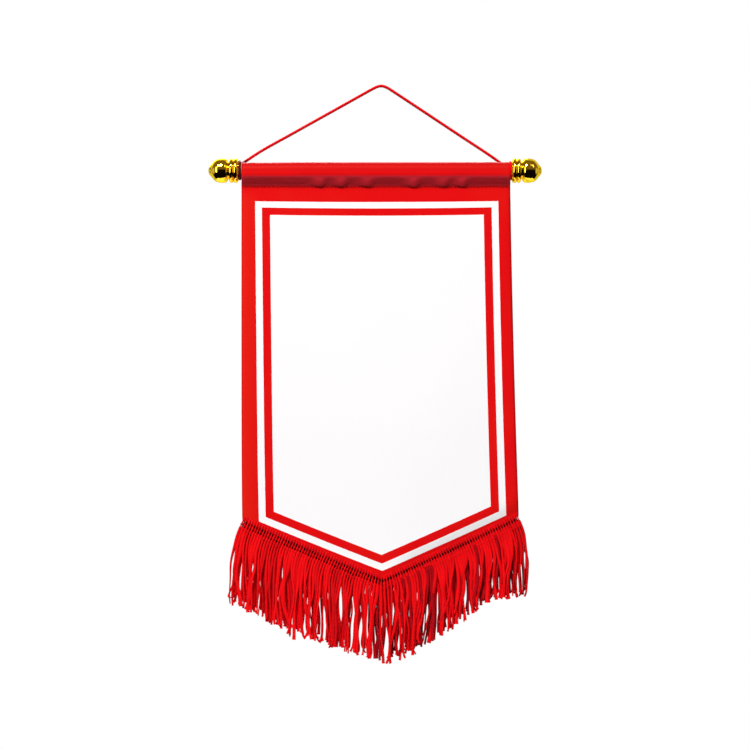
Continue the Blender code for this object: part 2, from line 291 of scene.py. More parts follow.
def tube(path, section, closed=False):
    """Points, faces and (around, along) places of a tube. section(i) gives its ring as (side, up) pairs."""
    count = len(path)
    points, faces, places = [], [], []
    side = None
    along = 0.0
    sides = None
    for i, centre in enumerate(path):
        before = path[i - 1] if (i or closed) else centre
        after = path[(i + 1) % count] if (i + 1 < count or closed) else centre
        tangent = (after - before).normalized()
        if side is None:
            side = tangent.cross(Vector((0, 1, 0)))
            if side.length < 1e-3:
                side = tangent.cross(Vector((1, 0, 0)))
        side = (side - tangent * side.dot(tangent)).normalized()
        up = tangent.cross(side)
        ring = section(i)
        sides = len(ring)
        for k, (across, out) in enumerate(ring):
            points.append(centre + side * across + up * out)
            places.append((k / sides, along, 0.0))
        if i + 1 < count:
            along += (path[i + 1] - centre).length
    rings = count if closed else count - 1
    for i in range(rings):
        a, b = i * sides, ((i + 1) % count) * sides
        for k in range(sides):
            n = (k + 1) % sides
            faces.append((a + k, a + n, b + n, b + k))
    if not closed:
        faces.append(tuple(range(sides - 1, -1, -1)))
        faces.append(tuple(range((count - 1) * sides, count * sides)))
    return points, faces, places


def circle(radius, sides):
    turns = [2 * math.pi * k / sides for k in range(sides)]
    return [(radius * math.cos(a), radius * math.sin(a)) for a in turns]


def gather(parts):
    """Several (points, faces, places) as one."""
    points, faces, places = [], [], []
    for part_points, part_faces, part_places in parts:
        start = len(points)
        points += part_points
        faces += [tuple(start + k for k in face) for face in part_faces]
        places += part_places
    return points, faces, places


# -------- materials


class Tree:
    """Adds nodes to a shader tree. Its pattern methods return their node's result."""

    def __init__(self, tree):
        self.tree = tree

    def add(self, kind, **settings):
        node = self.tree.nodes.new(kind)
        for key, value in settings.items():
            setattr(node, key, value)
        return node

    def put(self, socket, value):
        if isinstance(value, bpy.types.NodeSocket):
            self.tree.links.new(value, socket)
        elif isinstance(value, tuple) and len(value) == 3 and socket.type == "RGBA":
            socket.default_value = (*value, 1)
        else:
            socket.default_value = value

    def feed(self, node, result, **given):
        for key, value in given.items():
            self.put(node.inputs[key], value)
        return node.outputs[result]

    def math(self, operation, a, b=0.0):
        node = self.add("ShaderNodeMath", operation=operation)
        self.put(node.inputs[0], a)
        self.put(node.inputs[1], b)
        return node.outputs[0]

    def times(self, a, b):
        return self.math("MULTIPLY", a, b)

    def plus(self, a, b):
        return self.math("ADD", a, b)

    def steps(self, value, low, high, start=0.0, end=1.0):
        node = self.add("ShaderNodeMapRange", interpolation_type="SMOOTHSTEP")
        span = {"From Min": low, "From Max": high, "To Min": start, "To Max": end}
        return self.feed(node, "Result", Value=value, **span)

    def mix(self, share, a, b):
        node = self.add("ShaderNodeMix", data_type="RGBA")
        self.put(node.inputs[0], share)
        self.put(node.inputs[6], a)
        self.put(node.inputs[7], b)
        return node.outputs[2]

    def place(self):
        return self.add("ShaderNodeTexCoord").outputs["Object"]

    def attribute(self, name):
        return self.add("ShaderNodeAttribute", attribute_name=name).outputs["Vector"]

    def scaled(self, vector, scale):
        return self.feed(self.add("ShaderNodeMapping"), "Vector", Vector=vector, Scale=scale)

    def split(self, vector):
        node = self.add("ShaderNodeSeparateXYZ")
        self.put(node.inputs[0], vector)
        return node.outputs

    def noise(self, vector, scale, detail=2.0, roughness=0.5):
        node = self.add("ShaderNodeTexNoise")
        return self.feed(node, "Fac", Vector=vector, Scale=scale, Detail=detail, Roughness=roughness)

    def wave(self, vector, scale, direction="X", distortion=0.0, detail=0.0):
        node = self.add("ShaderNodeTexWave", bands_direction=direction)
        return self.feed(node, "Fac", Vector=vector, Scale=scale, Distortion=distortion, Detail=detail)


class Nodes(Tree):
    """One material: its Principled shader and the nodes that feed it."""

    def __init__(self, name, colour, roughness, metallic=0.0):
        self.material = bpy.data.materials.new(name)
        self.material.use_nodes = True
        super().__init__(self.material.node_tree)
        self.shader = self.tree.nodes["Principled BSDF"]
        self.shader.inputs["Base Color"].default_value = (*colour, 1)
        self.shader.inputs["Roughness"].default_value = roughness
        self.shader.inputs["Metallic"].default_value = metallic
        self.material.diffuse_color = (*colour, 1)

    def bump(self, height, strength, distance):
        node = self.add("ShaderNodeBump")
        normal = self.feed(node, "Normal", Strength=strength, Distance=distance, Height=height)
        self.put(self.shader.inputs["Normal"], normal)

    def colour(self, value):
        self.put(self.shader.inputs["Base Color"], value)

    def rough(self, least, pattern, more):
        self.put(self.shader.inputs["Roughness"], self.plus(least, self.times(pattern, more)))

    def gloss(self, level, tint):
        self.shader.inputs["Specular IOR Level"].default_value = level
        self.shader.inputs["Specular Tint"].default_value = (*tint, 1)

    def sheen(self, weight, colour):
        self.shader.inputs["Sheen Weight"].default_value = weight
        self.shader.inputs["Sheen Roughness"].default_value = 0.45
        self.shader.inputs["Sheen Tint"].default_value = (*colour, 1)


RED = (0.765, 0.0030, 0.0050)
YARN_RED = (0.960, 0.0035, 0.0065)
# orange for random tone and for painted satin sheen
ORANGE_TONE_AND_SHEEN = (0.775, 0.0110, 0.0060)
DEEP_RED = (0.400, 0.0008, 0.0050)
UNDER_SHADE_RED = (0.690, 0.0230, 0.0380)  # painted shade: the sleeve's underside, greyed and darkened as its own shade makes it look
# the fringe yarn's red as it looks in shade, for painted shade
SHADED_YARN_RED = (0.130, 0.0020, 0.0070)
# painted shadow: the cord as it looks in shade at the left knot
CORD_END_SHADE_RED = (0.120, 0.0015, 0.0055)
WHITE = (0.975, 0.975, 0.980)
RED_GLOSS = (1.0, 0.10, 0.06)


def weave(n, vector, pitch):
    """Satin: long floats across, with fine warp lines between them."""
    across = n.wave(n.scaled(vector, (1, 1, 1)), 0.05 / pitch, "X", distortion=0.6, detail=1.0)
    down = n.wave(n.scaled(vector, (0.4, 1, 1)), 0.05 / pitch, "Y", distortion=1.2, detail=1.0)
    return n.plus(n.times(across, 0.6), n.times(down, 0.4))


def red_cloth(n, vector):
    """Red with a slow random shift towards orange, partly as a tone of the cloth and partly as painted satin
    sheen, and a painted orange sheen at its left edge.
    """
    drift = n.noise(vector, 14.0, 2.0)
    slub = n.noise(n.scaled(vector, (1, 9, 9)), 420.0, 2.0)
    x, depth, _ = n.split(vector)
    # painted sheen: the cloth's left edge is pushed towards orange
    left = n.times(n.steps(x, -0.104, -0.122), n.steps(depth, 0.0, 0.015))
    orange_tone_and_sheen = n.math("MAXIMUM", n.times(n.steps(drift, 0.45, 0.75), 0.5), left)
    base = n.mix(orange_tone_and_sheen, RED, ORANGE_TONE_AND_SHEEN)
    return n.mix(n.times(n.steps(slub, 0.5, 0.8), 0.30), base, DEEP_RED)


def make_printed_satin():
    """White line, red line and white panel, set out in the flat cloth's own metres, with painted shade on
    the sleeve.
    """
    n = Nodes("printed_satin", RED, 0.5)
    flat = n.attribute("flat")
    x, depth, sleeve = n.split(flat)
    half = CLOTH_WIDTH / 2
    lean = n.times(depth, PRINT_LEFT_LEAN)
    left = n.math("SUBTRACT", n.plus(x, half - PRINT_LEFT), lean)
    right = n.math("SUBTRACT", half - PRINT_RIGHT, x)
    top = n.math("DIVIDE", n.math("SUBTRACT", depth, PRINT_TOP), TOP_SHARE)
    tip = TIP_DEPTH - PRINT_POINT
    below = []
    for slope, sign in ((PRINT_SLOPE_LEFT, 1), (PRINT_SLOPE_RIGHT, -1)):
        edge = n.plus(tip, n.times(x, slope * sign))
        below.append(n.times(n.math("SUBTRACT", edge, depth), math.cos(math.atan(slope))))
    inside = n.math("MINIMUM", n.math("MINIMUM", left, right), n.math("MINIMUM", below[0], below[1]))
    inside = n.math("MINIMUM", inside, top)
    bleed = n.times(n.math("SUBTRACT", n.noise(flat, 900.0, 2.0), 0.5), 0.0002)
    inside = n.plus(inside, bleed)
    line = n.steps(inside, -INK_EDGE, INK_EDGE)
    line = n.times(line, n.steps(inside, WHITE_LINE + INK_EDGE, WHITE_LINE - INK_EDGE))
    both = WHITE_LINE + RED_LINE
    panel = n.steps(inside, both - INK_EDGE, both + INK_EDGE)
    white = n.math("MAXIMUM", line, panel)
    white = n.times(white, n.steps(sleeve, 0.5, 0.4))
    # faint random blue-grey patches on the white
    blue_grey_patches = n.times(n.steps(n.noise(flat, 24.0, 4.0, 0.6), 0.55, 0.9), 0.06)
    paper = n.mix(blue_grey_patches, WHITE, (0.80, 0.80, 0.86))
    # painted shade: the sleeve's top is darkened where it faces the light
    painted_top_shade = n.times(n.steps(depth, TOP_SHADE_FROM, TOP_SHADE_TO), 0.38)
    # painted shade: the sleeve's underside is mixed towards a greyed, darker red
    under_shade = n.times(sleeve, n.steps(depth, UNDER_TOP - 0.0008, UNDER_TOP + 0.0008))
    under_shade = n.times(under_shade, n.steps(depth, -0.0002, -0.0008))
    red = n.mix(under_shade, red_cloth(n, flat), UNDER_SHADE_RED)
    red = n.mix(n.times(sleeve, painted_top_shade), red, (0, 0, 0))
    # painted shade: the lowest rows of the sleeve's underside, just above the seam, are darkened
    low = n.times(n.steps(depth, SEAM_SHADE_START, 0.4 * SEAM_SHADE_START), 0.30)
    low = n.times(low, n.steps(depth, -0.0002, -0.0008))
    red = n.mix(n.times(sleeve, low), red, (0, 0, 0))
    n.colour(n.mix(white, red, paper))
    threads = weave(n, flat, 0.00032)
    n.rough(0.44, threads, 0.16)
    n.bump(threads, 0.25, 0.0001)
    n.gloss(0.35, RED_GLOSS)
    n.sheen(0.06, (1.0, 0.06, 0.04))
    return n.material


def make_red_satin():
    n = Nodes("red_satin", RED, 0.5)
    flat = n.attribute("flat")
    n.colour(red_cloth(n, flat))
    threads = weave(n, flat, 0.00032)
    n.rough(0.42, threads, 0.18)
    n.bump(threads, 0.3, 0.0001)
    n.gloss(0.4, RED_GLOSS)
    n.sheen(0.08, (1.0, 0.06, 0.04))
    return n.material


def make_interlining():
    n = Nodes("interlining_felt", (0.85, 0.85, 0.83), 0.95)
    flat = n.attribute("flat")
    fibres = n.noise(flat, 1600.0, 4.0, 0.7)
    n.colour(n.mix(fibres, (0.78, 0.78, 0.76), (0.92, 0.92, 0.90)))
    n.bump(fibres, 0.5, 0.0002)
    return n.material


def make_yarn(name, light, dark):
    """Knitted chainette: slanting stitches along the strand, with a painted shade of its own for each strand
    and painted shade along its flanks.
    """
    n = Nodes(name, light, 0.5)
    around, along, shade = n.split(n.attribute("yarn"))
    rows = n.times(along, 2 * math.pi / KNIT_PITCH)
    wales = n.times(around, 4 * math.pi)
    stitch = n.math("SINE", n.plus(rows, wales))
    back = n.math("SINE", n.math("SUBTRACT", rows, wales))
    knit = n.times(n.plus(n.math("MAXIMUM", stitch, back), 1.0), 0.5)
    # painted shade: each strand is darkened by its own shade value
    tone = n.mix(shade, dark, light)
    # painted shade along each strand's flanks, where it meets its neighbours
    flank = n.math("ABSOLUTE", n.math("COSINE", n.times(around, 2 * math.pi)))
    tone = n.mix(n.times(n.steps(flank, 0.68, 1.0), 0.38), tone, dark)
    n.colour(n.mix(n.times(n.math("SUBTRACT", 1.0, knit), 0.20), tone, dark))
    n.rough(0.42, knit, 0.2)
    n.bump(knit, 0.30, 0.0003)
    n.gloss(0.3, RED_GLOSS)
    n.sheen(0.10, (1.0, 0.06, 0.04))
    return n.material


def make_cord_material(name, light, dark, end_shade=0.0):
    n = Nodes(name, light, 0.5)
    around, along, _ = n.split(n.attribute("yarn"))
    lay = n.plus(n.times(along, 2 * math.pi * PLIES / PLY_TURN), n.times(around, 12 * math.pi))
    fibre = n.math("SINE", n.times(lay, 4.0))
    fibre = n.times(n.plus(fibre, 1.0), 0.5)
    fuzz = n.noise(n.place(), 900.0, 3.0)
    base = n.mix(n.times(fuzz, 0.6), light, dark)
    # painted shadow on the cord's first few millimetres, where it leaves the knot
    base = n.mix(n.times(n.steps(along, 0.0085, 0.0035), end_shade), base, CORD_END_SHADE_RED)
    n.colour(n.mix(n.times(fibre, 0.25), base, dark))
    n.rough(0.40, fuzz, 0.25)
    n.bump(fibre, 0.35, 0.0002)
    n.gloss(0.25, RED_GLOSS)
    n.sheen(0.08, (1.0, 0.06, 0.04))
    return n.material


def make_gold():
    """Bright plating over moulded plastic: nearly a mirror, with faint waves and handling wear."""
    n = Nodes("gold_plating", (0.95, 0.72, 0.09), 0.06, metallic=1.0)
    place = n.place()
    waves = n.noise(place, 160.0, 2.0)
    wear = n.steps(n.noise(place, 520.0, 5.0, 0.65), 0.60, 0.78)
    tint = n.mix(n.noise(place, 60.0, 2.0), (0.98, 0.70, 0.04), (0.93, 0.62, 0.04))
    n.colour(n.mix(n.times(wear, 0.35), tint, (0.66, 0.40, 0.05)))
    n.rough(0.04, wear, 0.20)
    n.gloss(0.5, (1.0, 0.84, 0.10))
    n.shader.inputs["Coat Weight"].default_value = 0.10
    n.shader.inputs["Coat Roughness"].default_value = 0.04
    n.bump(waves, 0.06, 0.0015)
    return n.material


def make_wood():
    n = Nodes("wooden_dowel", (0.30, 0.17, 0.09), 0.6)
    place = n.place()
    grain = n.noise(n.scaled(place, (0.06, 1, 1)), 900.0, 4.0, 0.6)
    bands = n.noise(n.scaled(place, (0.02, 1, 1)), 240.0, 2.0)
    base = n.mix(bands, (0.33, 0.19, 0.10), (0.24, 0.13, 0.065))
    n.colour(n.mix(n.steps(grain, 0.55, 0.75), base, (0.13, 0.065, 0.03)))
    n.rough(0.5, grain, 0.3)
    n.bump(grain, 0.3, 0.0002)
    return n.material


def make_thread():
    n = Nodes("sewing_thread", (0.20, 0.006, 0.010), 0.6)
    n.gloss(0.1, RED_GLOSS)
    ply = n.wave(n.place(), 260.0, "DIAGONAL", distortion=0.5)
    n.colour(n.mix(ply, (0.14, 0.004, 0.007), (0.30, 0.009, 0.014)))
    n.rough(0.60, ply, 0.2)
    n.bump(ply, 0.5, 0.0001)
    return n.material


def make_floor_material():
    n = Nodes("pale_floor", (0.92, 0.92, 0.93), 0.7)
    grain = n.noise(n.place(), 6.0, 3.0)
    n.colour(n.mix(n.times(grain, 0.2), (0.93, 0.93, 0.94), (0.90, 0.90, 0.91)))
    return n.material


# -------- camera, light and floor


def make_camera():
    data = bpy.data.cameras.new("camera")
    data.lens = LENS
    data.sensor_width = SENSOR
    made = add_object("camera", data, VIEW_CENTRE + Vector((0, -VIEW_WIDTH / SENSOR * LENS, 0)))
    made.rotation_euler = (math.radians(90), 0, 0)
    bpy.context.scene.camera = made


def area_light(name, place, size, power):
    data = bpy.data.lights.new(name, "AREA")
    data.shape = "RECTANGLE"
    data.size, data.size_y = size
    data.energy = power
    made = add_object(name, data, VIEW_CENTRE + Vector(place))
    made.rotation_euler = (-Vector(place)).to_track_quat("-Z", "Y").to_euler()
    return made


def make_world():
    """White to the camera. The gold mirrors a pale table, wall and sides, and a dark, warm room in front."""
    world = bpy.data.worlds.new("white_studio")
    bpy.context.scene.world = world
    world.use_nodes = True
    n = Tree(world.node_tree)
    n.tree.nodes.clear()
    way = n.add("ShaderNodeTexCoord").outputs["Generated"]
    x, y, z = n.split(way)
    table_way = n.add("ShaderNodeVectorMath", operation="DOT_PRODUCT")
    n.put(table_way.inputs[0], way)
    table_way.inputs[1].default_value = (0.0, 0.8, -0.6)
    table = n.steps(table_way.outputs["Value"], 0.84, 0.91, 0.0, 0.8)
    wall = n.steps(y, 0.24, 0.42, 0.0, 0.75)
    sides = n.steps(n.math("ABSOLUTE", x), 0.91, 0.98, 0.0, 0.6)
    room = n.steps(z, -0.05, 0.35, 0.004, 0.20)
    mirrored = n.math("MAXIMUM", n.math("MAXIMUM", table, wall), n.math("MAXIMUM", sides, room))
    fill = n.steps(z, -0.25, 0.80, 0.06, 0.34)

    def choose(share, usual, other):
        node = n.add("ShaderNodeMix", data_type="FLOAT")
        n.put(node.inputs[0], share)
        n.put(node.inputs[2], usual)
        n.put(node.inputs[3], other)
        return node.outputs[0]

    path = n.add("ShaderNodeLightPath")
    glossy = path.outputs["Is Glossy Ray"]
    strength = choose(path.outputs["Is Camera Ray"], choose(glossy, fill, mirrored), 1.0)
    dim = n.times(glossy, n.steps(mirrored, 0.2, 0.5, 1.0, 0.0))
    tint = n.mix(dim, (1, 1, 1), (1.0, 0.70, 0.62))
    light = n.feed(n.add("ShaderNodeBackground"), "Background", Color=tint, Strength=strength)
    n.put(n.add("ShaderNodeOutputWorld").inputs["Surface"], light)


def make_light():
    area_light("key_light", (-0.84, -2.12, 2.70), (0.9, 0.9), 156)
    area_light("front_fill", (0.4, -2.6, -1.2), (1.2, 0.8), 11).visible_glossy = False
    area_light("left_card", (-1.2, -1.2, 0.30), (0.7, 1.5), 13).visible_diffuse = False
    area_light("right_card", (1.0, -1.1, 1.3), (0.3, 0.7), 3).visible_diffuse = False
    area_light("back_fill", (-0.5, 2.0, 1.4), (1.6, 1.2), 44)
    make_world()
    bpy.context.scene.view_settings.view_transform = "Standard"


def make_floor():
    bpy.ops.mesh.primitive_circle_add(vertices=96, radius=FLOOR_RADIUS, fill_type="NGON")
    floor = bpy.context.object
    floor.name = "pale_floor"
    floor.location = (MIDDLE_X, FLOOR_BACK, cad_box[0].z - FLOOR_DROP)
    floor.data.materials.append(make_floor_material())


# -------- cord and knots


def plied(radius, sides, twist):
    """One ring of a cord of three plies, turned by twist."""
    ring = []
    for k in range(sides):
        turn = 2 * math.pi * k / sides
        lobe = abs(math.cos(PLIES * (turn + twist) / 2))
        reach = radius * (0.90 + 0.10 * lobe)
        ring.append((reach * math.cos(turn), reach * math.sin(turn)))
    return ring


def make_cord(skin):
    step = 0.0007
    path = smooth_route(CORD_ROUTE, step)
    turn = 2 * math.pi * step / PLY_TURN
    points, faces, places = tube(path, lambda i: plied(CORD_DIAMETER / 2, 18, turn * i))
    made = mesh_object("cord_twisted", points, faces, skin, sharp=80)
    give_vectors(made, "yarn", places)
    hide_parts("hanging_cord")
    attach(made, "cord")
    centreline = [tuple(p) for p in path[::6]] + [tuple(path[-1])]
    length = sum((b - a).length for a, b in zip(path, path[1:]))
    assert abs(length - CORD_LENGTH) < 0.01, length
    return made, centreline, length


def make_knot(name, node, exit_angle, skin):
    """One pressed turn of cord round the dowel, and a short hitch over it where the leg leaves."""
    low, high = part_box(node)
    side = -1 if low.x < MIDDLE_X else 1
    middle = (low.x + high.x) / 2 - side * BEAD_REACH / 2
    radius = DOWEL_RADIUS + KNOT_CLEARANCE + CORD_DIAMETER / 2
    thick = (high.x - low.x - BEAD_REACH) / 2 + 0.0005
    ring = []
    steps = 150
    for i in range(steps):
        angle = exit_angle + 2 * math.pi * i / steps
        ring.append(Vector((middle, radius * math.cos(angle), AXIS_Z + radius * math.sin(angle))))
    twist = 2 * math.pi * round(2 * math.pi * radius / PLY_TURN) / steps
    wound = tube(ring, lambda i: plied(thick, 16, twist * i), closed=True)
    seat = DOWEL_RADIUS + KNOT_SEAT
    for point in wound[0]:
        out = Vector((0, point.y, point.z - AXIS_Z))
        out = out.normalized() * (seat + (out.length - seat) * KNOT_FLATNESS)
        point.y, point.z = out.y, AXIS_Z + out.z
    hitch = []
    for i in range(25):
        share = i / 24
        angle = exit_angle + HITCH_ARC * (share - 0.5)
        out = radius + HITCH_LIFT * math.sin(math.pi * share)
        drift = 0.0004 * math.cos(math.pi * share)
        hitch.append(Vector((middle + drift, out * math.cos(angle), AXIS_Z + out * math.sin(angle))))

    def hitch_ring(i):
        return plied(CORD_DIAMETER / 2 * (0.55 + 0.40 * math.sin(math.pi * i / 24)), 16, 0.4 * i)

    points, faces, places = gather([wound, tube(hitch, hitch_ring)])
    made = mesh_object(name, points, faces, skin, sharp=80)
    give_vectors(made, "yarn", places)
    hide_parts(node)
    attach(made, "cord")
    return made


# -------- finials


def finial_outline(length, radius):
    """(distance from the shoulder, radius) along a turned cap of this length and greatest radius."""
    outline = [(0.0, 0.0072 / 0.0114 * radius), (0.0, 0.80 * radius), (0.0003, 0.83 * radius)]

    def bead(centre, half, peak, low):
        for i in range(13):
            a = math.pi * (1 - i / 12)
            lift = max(0.0, math.sin(a)) ** 0.75
            outline.append((centre + half * math.cos(a), low + (peak - low) * lift))

    bead(0.082 * length, 0.064 * length, radius, 0.83 * radius)
    bead(0.214 * length, 0.062 * length, 0.985 * radius, 0.81 * radius)
    outline += [(at * length, share * radius) for at, share in FINIAL_NECK]
    for point in smooth_route([(at, share, 0) for at, share in FINIAL_BALL], 0.018):
        outline.append((point.x * length, max(0.0, point.y) * radius))
    return outline


def make_finial(name, node, side, skin):
    low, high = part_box(node)
    length = high.x - low.x
    radius = (high.z - low.z) / 2
    shoulder = high.x if side < 0 else low.x
    outline = finial_outline(length, radius)
    outline[-1] = (length, 0.0)
    outline = [(x - BEAD_REACH * max(0.0, 1 - x / (FINIAL_BALL[0][0] * length)), r) for x, r in outline]
    socket = DOWEL_RADIUS + SOCKET_CLEARANCE
    bottom = SOCKET_SHARE * length
    inner = [(bottom, 0.0), (bottom, socket), (-BEAD_REACH, socket)]
    profile = inner + outline[1:]
    segments = 96
    points, faces = [], []
    rings = []
    for x, r in profile:
        if r < 1e-7:
            points.append(Vector((shoulder + side * x, 0, AXIS_Z)))
            rings.append([len(points) - 1] * segments)
            continue
        start = len(points)
        for k in range(segments):
            a = 2 * math.pi * k / segments
            points.append(Vector((shoulder + side * x, r * math.sin(a), AXIS_Z + r * math.cos(a))))
        rings.append(list(range(start, start + segments)))
    for first, second in zip(rings, rings[1:]):
        for k in range(segments):
            n = (k + 1) % segments
            face = [first[k], first[n], second[n], second[k]]
            face = [v for i, v in enumerate(face) if v not in face[:i]]
            if len(face) > 2:
                faces.append(tuple(face))
    made = mesh_object(name, points, faces, skin, sharp=42)
    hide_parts(node)
    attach(made, node)


# -------- cloth


def cloth_end(x):
    """Depth of the flat cloth below the seam at x from its middle."""
    return TIP_DEPTH - abs(x) * EDGE_SLOPE


def drawn_in(x, width):
    """1 at the middle of a crease in the sleeve, 0 between creases."""
    return min(1.0, sum(math.exp(-(((x - place) / width) ** 2)) for place in CREASES))


def billow(x):
    """How full the sleeve's underside is: slowly filling towards a crease, and falling sharply past it."""
    full = 0.0
    for place in CREASES:
        width = BILLOW_BEFORE if x < place else BILLOW_AFTER
        full += math.exp(-(((x - place) / width) ** 2))
    return full


def hang(x, depth, out):
    """Where a point of the flat cloth hangs: x from the middle, depth below the seam, out to the viewer."""
    half = CLOTH_WIDTH / 2
    share = (x + half) / CLOTH_WIDTH
    down = max(0.0, depth / (TIP_DEPTH - POINT_RISE))
    left = -half + HANG_LEFT + HANG_LEFT_FOOT * min(down, 1.3) ** FOOT_POWER / 1.3**4
    right = half + HANG_RIGHT + HANG_LEAN * down + HANG_CURVE * down**2
    place_x = MIDDLE_X + left + (right - left) * share
    sag = BOW * (1 - (2 * share - 1) ** 2) * smooth(0, 0.02, depth)
    sag += SCALLOP * (drawn_in(x, SCALLOP_WIDTH) - 0.5) * math.exp(-depth / 0.004)
    place_z = SEAM_Z - depth * (1 - RIGHT_LIFT * share**2) - sag
    from_edge = (cloth_end(x) - depth) * math.cos(EDGE_ANGLE)
    roll = math.exp(-(((from_edge - 0.002) / ROLL_WIDTH) ** 2)) * smooth(0.004, 0.035, x)
    ripple = RIPPLE * noise.noise(Vector((x * 16, depth * 9, 0.3))) * smooth(0, 0.05, depth)
    sway = 0.0007 * math.sin(2.2 * share * math.pi + 0.6) * smooth(0.05, 0.3, depth)
    return Vector((place_x, ROLL_DEPTH * roll + ripple + sway - out, place_z))


def body_half(x, depth):
    """Half the thickness of the sewn body, which closes up towards its edges."""
    from_side = CLOTH_WIDTH / 2 - abs(x)
    from_point = (cloth_end(x) - depth) * math.cos(EDGE_ANGLE)
    near = min(1.0, max(0.0, min(from_side, from_point) / EDGE_ROUNDING))
    return EDGE_HALF + (HALF_BODY - EDGE_HALF) * math.sqrt(1 - (1 - near) ** 2)


def sleeve_section():
    """(y, z) of the fold over the dowel, from the tail behind the seam to the seam in front."""
    radius = SLEEVE_RADIUS - SHEET_THICKNESS / 2
    drop = AXIS_Z - SEAM_Z
    half = SEAM_HALF
    reach = math.hypot(half, drop)
    tangent = math.atan2(-drop, half) + math.acos(radius / reach)
    arc_rows = 24
    flank_rows = 12
    section = []
    for i in range(4):
        section.append((half + 0.0001 * (3 - i), SEAM_Z - SLEEVE_TAIL * (1 - i / 4)))
    start = (radius * math.cos(tangent), AXIS_Z + radius * math.sin(tangent))
    for i in range(flank_rows):
        share = i / flank_rows
        section.append((half + (start[0] - half) * share, SEAM_Z + (start[1] - SEAM_Z) * share))
    for i in range(arc_rows):
        a = tangent + (math.pi - tangent) * i / arc_rows
        section.append((radius * math.cos(a), AXIS_Z + radius * math.sin(a)))
    belly = smooth_route(
        [
            (0, -radius, AXIS_Z),
            (0, -radius - 0.0001, AXIS_Z - 0.5 * BELLY_DROP),
            (0, -radius + 0.0001, AXIS_Z - BELLY_DROP),
            (0, -radius + 0.0008, AXIS_Z - BELLY_DROP - 0.0018),
            (0, -radius + 0.0019, AXIS_Z - BELLY_DROP - 0.0036),
            (0, -radius + 0.0033, AXIS_Z - BELLY_DROP - 0.0054),
            (0, -radius + 0.0048, AXIS_Z - BELLY_DROP - 0.0072),
            (0, -half - 0.0007, SEAM_Z + 0.0010),
            (0, -half, SEAM_Z),
        ],
        0.0007,
    )
    return section + [(p.y, p.z) for p in belly]


def grid_faces(columns, rows):
    faces = []
    for i in range(columns - 1):
        for j in range(rows - 1):
            a = i * rows + j
            faces.append((a, a + 1, a + rows + 1, a + rows))
    return faces


def thicken(made, thickness):
    solid = made.modifiers.new("thickness", "SOLIDIFY")
    solid.thickness = thickness
    solid.offset = 0
    solid.use_even_offset = False


def sheet_object(name, points, flats, columns, rows, skin):
    made = mesh_object(name, points, grid_faces(columns, rows), skin, sharp=75)
    give_vectors(made, "flat", flats)
    thicken(made, SHEET_THICKNESS)
    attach(made, "banner")
    return made


def make_front(skin):
    """The front cloth in one piece: up the back of the fold, over the dowel, and down the printed face."""
    section = sleeve_section()
    lengths = [0.0]
    for (y0, z0), (y1, z1) in zip(section, section[1:]):
        lengths.append(lengths[-1] + math.hypot(y1 - y0, z1 - z0))
    points, flats = [], []
    for i in range(CLOTH_COLUMNS):
        x = CLOTH_WIDTH * (i / (CLOTH_COLUMNS - 1) - 0.5)
        top = hang(x, 0, 0)
        for (y, z), length in zip(section, lengths):
            up = (z - SEAM_Z) / (SLEEVE_RADIUS * 2)
            away = Vector((0, y, z - AXIS_Z))
            away = away.normalized() if away.length > 1e-6 else Vector((0, -1, 0))
            flank = smooth(0.02, 0.25, up) * smooth(1.0, 0.55, up)
            crease = 0.00030 * noise.noise(Vector((x * 55, z * 60, y * 30 + 2)))
            fold = smooth(-0.02, 0.12, up) * smooth(0.54, 0.20, up) * (1 if y < 0 else 0.3)
            slanted = x - CREASE_SLANT * (up - 0.15)
            crease += BILLOW_DEPTH * (billow(slanted) - 0.3) * fold
            drift = 2 * noise.noise(Vector((x * 30, 0, 5)))
            pucker = PUCKER * math.sin(2 * math.pi * x / PUCKER_PITCH + drift)
            shift = away * (crease * max(flank, fold) + pucker * smooth(0.35, 0.05, abs(up)))
            shift.z -= SCALLOP * (drawn_in(x, SCALLOP_WIDTH) - 0.5) * smooth(0.3, 0.0, abs(up))
            at_left = smooth(0.5, 1.0, -2 * x / CLOTH_WIDTH)
            shift.z -= 0.0005 * at_left * smooth(0.5, 0.9, up)
            inset = 0.0006 * smooth(0.0, 0.75, up) * at_left
            points.append(Vector((top.x + inset, y + shift.y, z + shift.z)))
            flats.append((x, length - lengths[-1], 1.0))
        end = cloth_end(x)
        for j in range(1, CLOTH_ROWS):
            depth = end * j / (CLOTH_ROWS - 1)
            points.append(hang(x, depth, body_half(x, depth)))
            flats.append((x, depth, 0.0))
    rows = len(section) + CLOTH_ROWS - 1
    made = sheet_object("cloth_front", points, flats, CLOTH_COLUMNS, rows, skin)
    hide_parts("front_cloth", "rod_sleeve")
    return made, lengths[-1]


def make_panel(name, node, skin, side, top, inset):
    """A plain sheet of the sewn body: the back cloth (side 1) or the interlining (side 0)."""
    points, flats = [], []
    half = CLOTH_WIDTH / 2 - inset
    for i in range(CLOTH_COLUMNS):
        x = 2 * half * (i / (CLOTH_COLUMNS - 1) - 0.5)
        end = cloth_end(x) - inset / math.cos(EDGE_ANGLE)
        for j in range(CLOTH_ROWS):
            depth = top + (end - top) * j / (CLOTH_ROWS - 1)
            points.append(hang(x, depth, -side * body_half(x, depth)))
            flats.append((x, depth, 0.0))
    made = sheet_object(name, points, flats, CLOTH_COLUMNS, CLOTH_ROWS, skin)
    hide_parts(node)
    return made


